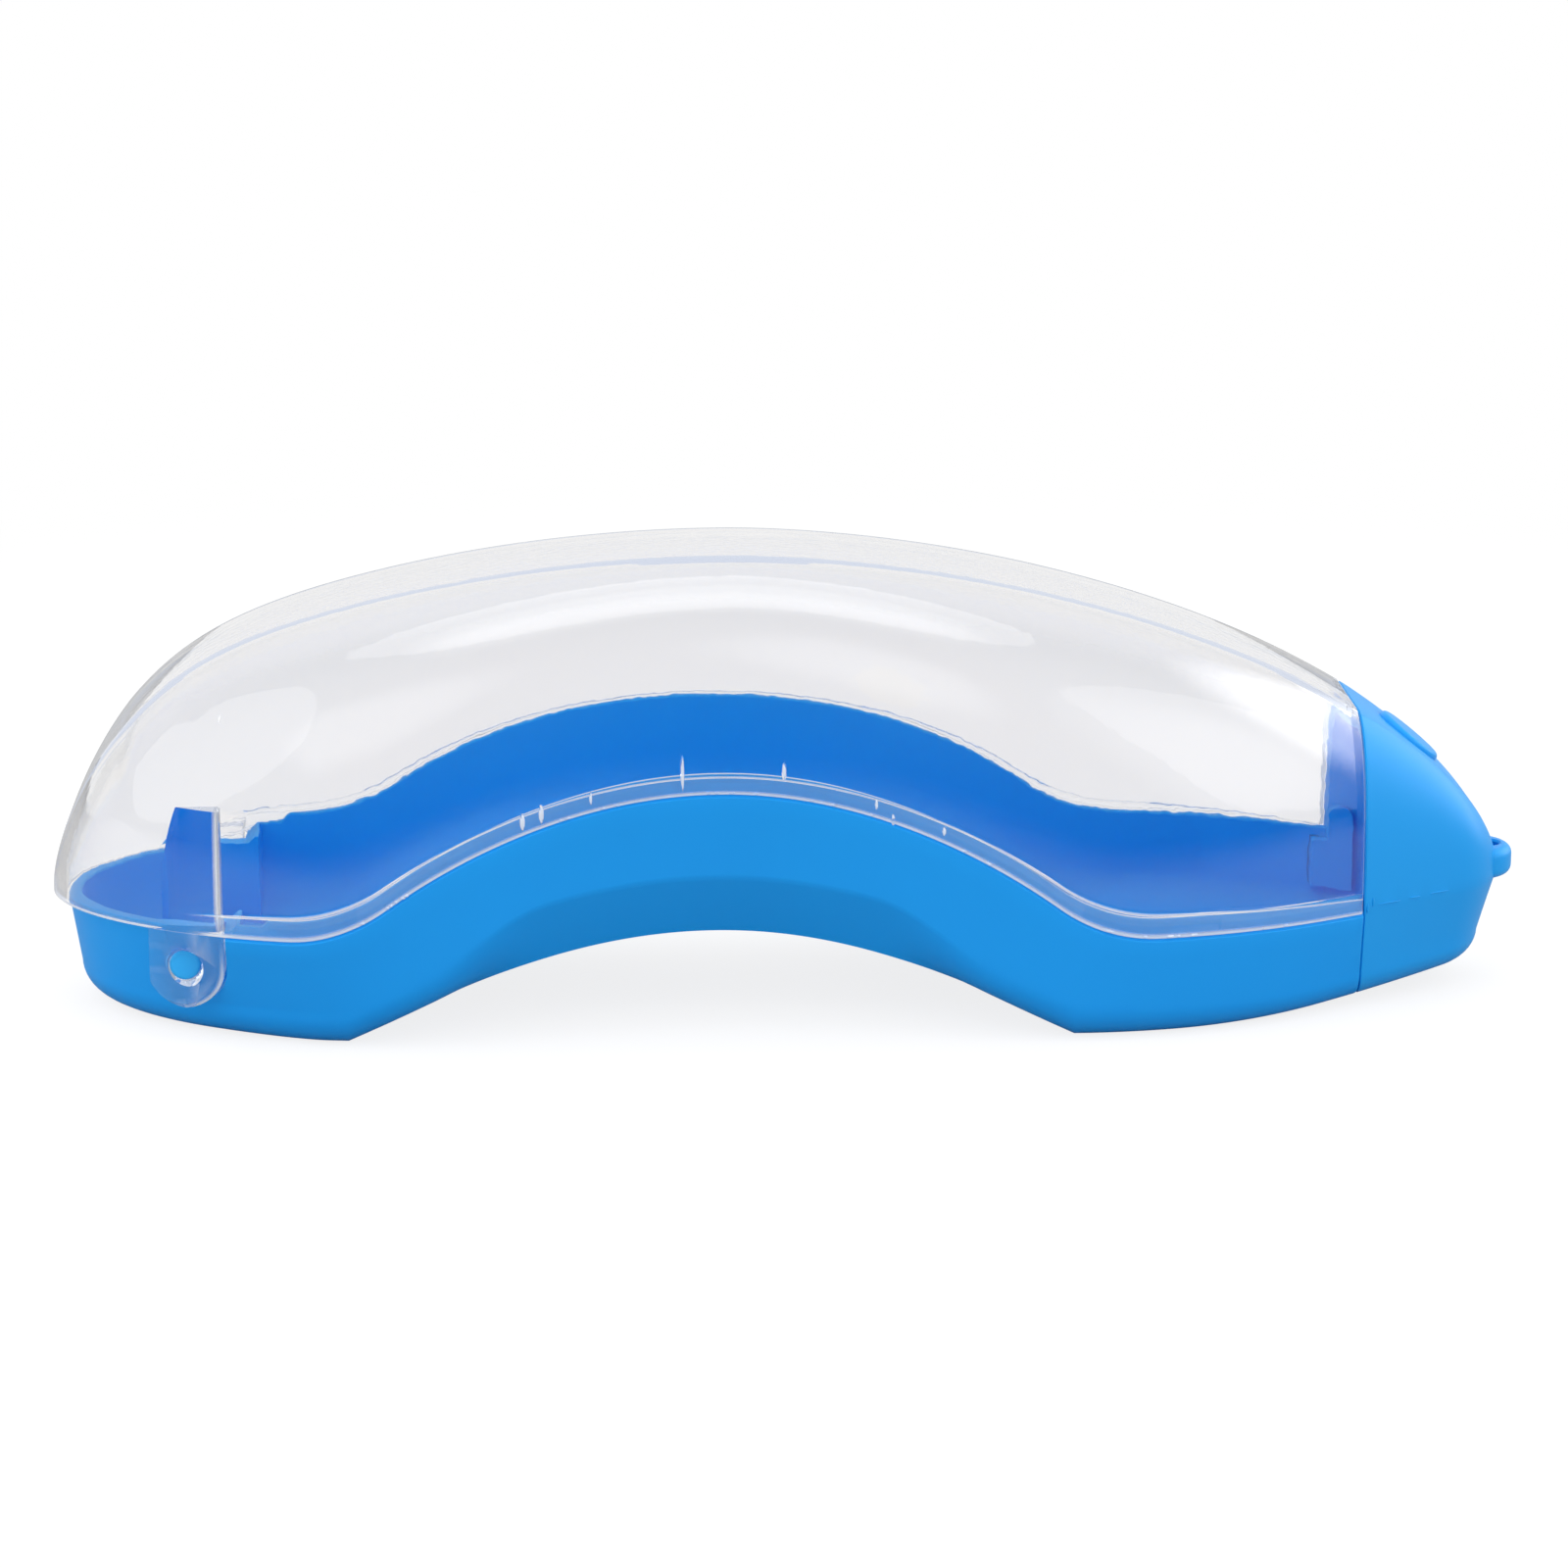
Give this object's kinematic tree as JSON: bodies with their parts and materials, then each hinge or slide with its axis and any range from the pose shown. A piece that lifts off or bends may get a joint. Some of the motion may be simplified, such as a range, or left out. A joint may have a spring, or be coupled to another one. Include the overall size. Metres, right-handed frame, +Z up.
{
  "type": "goggle case",
  "caption": "Arched hard case for swim goggles: blue two-piece base on two feet with an eyelet nose, and a clear domed lid hinged at one end",
  "frame": {"origin": "on the ground under the middle of the case's box", "axes": "+X along the case towards the nose, +Y across it to the rear, +Z up"},
  "size_m": [0.202, 0.0582, 0.0629],
  "materials": {
    "tray_blue": "fine satin moulded polypropylene",
    "nose_blue": "satin moulded polypropylene",
    "lid_clear": "clear polished polystyrene",
    "pin_blue": "satin moulded polypropylene"
  },
  "bodies": {
    "case": {"base_tray": "tray_blue", "nose_cap": "nose_blue", "hinge_pin_front": "pin_blue", "hinge_pin_rear": "pin_blue"},
    "lid": {"clear_lid": "lid_clear"}
  },
  "joints": [
    {"name": "lid_hinge", "type": "hinge", "parent": "case", "child": "lid", "pos_m": [-0.0817, 0, 0.0104], "axis": [0, -1, 0], "range_deg": [0, 105]}
  ]
}
